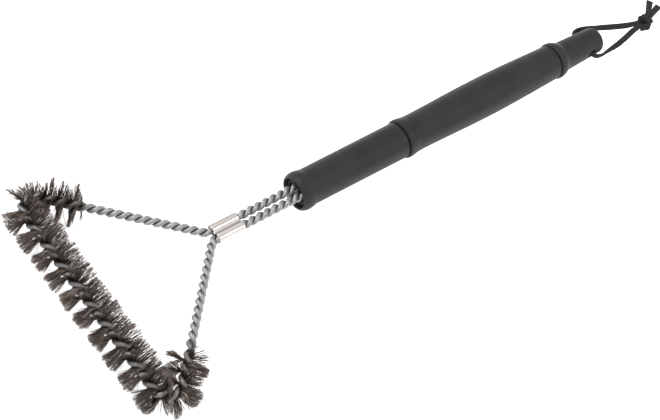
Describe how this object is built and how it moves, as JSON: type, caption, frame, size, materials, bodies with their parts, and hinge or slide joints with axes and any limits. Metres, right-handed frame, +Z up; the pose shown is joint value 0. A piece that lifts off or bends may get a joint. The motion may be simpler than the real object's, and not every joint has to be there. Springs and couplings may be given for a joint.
{
  "type": "grill cleaning brush",
  "caption": "Grill cleaning brush: twisted wire ropes bent into a bristled triangle, crimped at the neck and set in a long round plastic handle with a woven hanging loop.",
  "frame": {"origin": "middle of the brush lying flat, on the ground under it, measured without the lace", "axes": "+X from the bristle bar to the handle's end, +Y along the bristle bar, +Z up, square to the plane of the wire triangle"},
  "size_m": [0.5398, 0.1976, 0.0306],
  "materials": {
    "galvanised_wire": "dull galvanised drawn wire",
    "ferrule_metal": "smooth pressed sleeve with a soft shine",
    "bristle_wire": "dark brown bristle wire with lighter tips",
    "handle_plastic": "charcoal moulded plastic, fine matt grain",
    "woven_lace": "black flat woven lace"
  },
  "bodies": {
    "brush": {"frame_wire_1": "galvanised_wire", "frame_wire_2": "galvanised_wire", "crimp_ferrule": "ferrule_metal", "bristle_fan_01": "bristle_wire", "bristle_fan_02": "bristle_wire", "bristle_fan_03": "bristle_wire", "bristle_fan_04": "bristle_wire", "bristle_fan_05": "bristle_wire", "bristle_fan_06": "bristle_wire", "bristle_fan_07": "bristle_wire", "bristle_fan_08": "bristle_wire", "bristle_fan_09": "bristle_wire", "bristle_fan_10": "bristle_wire", "bristle_fan_11": "bristle_wire", "bristle_fan_12": "bristle_wire", "bristle_fan_13": "bristle_wire", "bristle_fan_14": "bristle_wire", "handle_wire_socket": "handle_plastic", "handle_core": "handle_plastic", "handle_front_sleeve": "handle_plastic", "handle_grip": "handle_plastic", "handle_end_cap": "handle_plastic"},
    "hang_loop": {"lace_leg_left": "woven_lace", "lace_leg_right": "woven_lace", "lace_knot": "woven_lace", "lace_tail_left": "woven_lace", "lace_tail_right": "woven_lace"}
  },
  "joints": [
    {"name": "loop_swing", "type": "hinge", "parent": "brush", "child": "hang_loop", "pos_m": [0.21565, 0, 0.0153], "axis": [0, 1, 0], "range_deg": [-155, 132]}
  ]
}
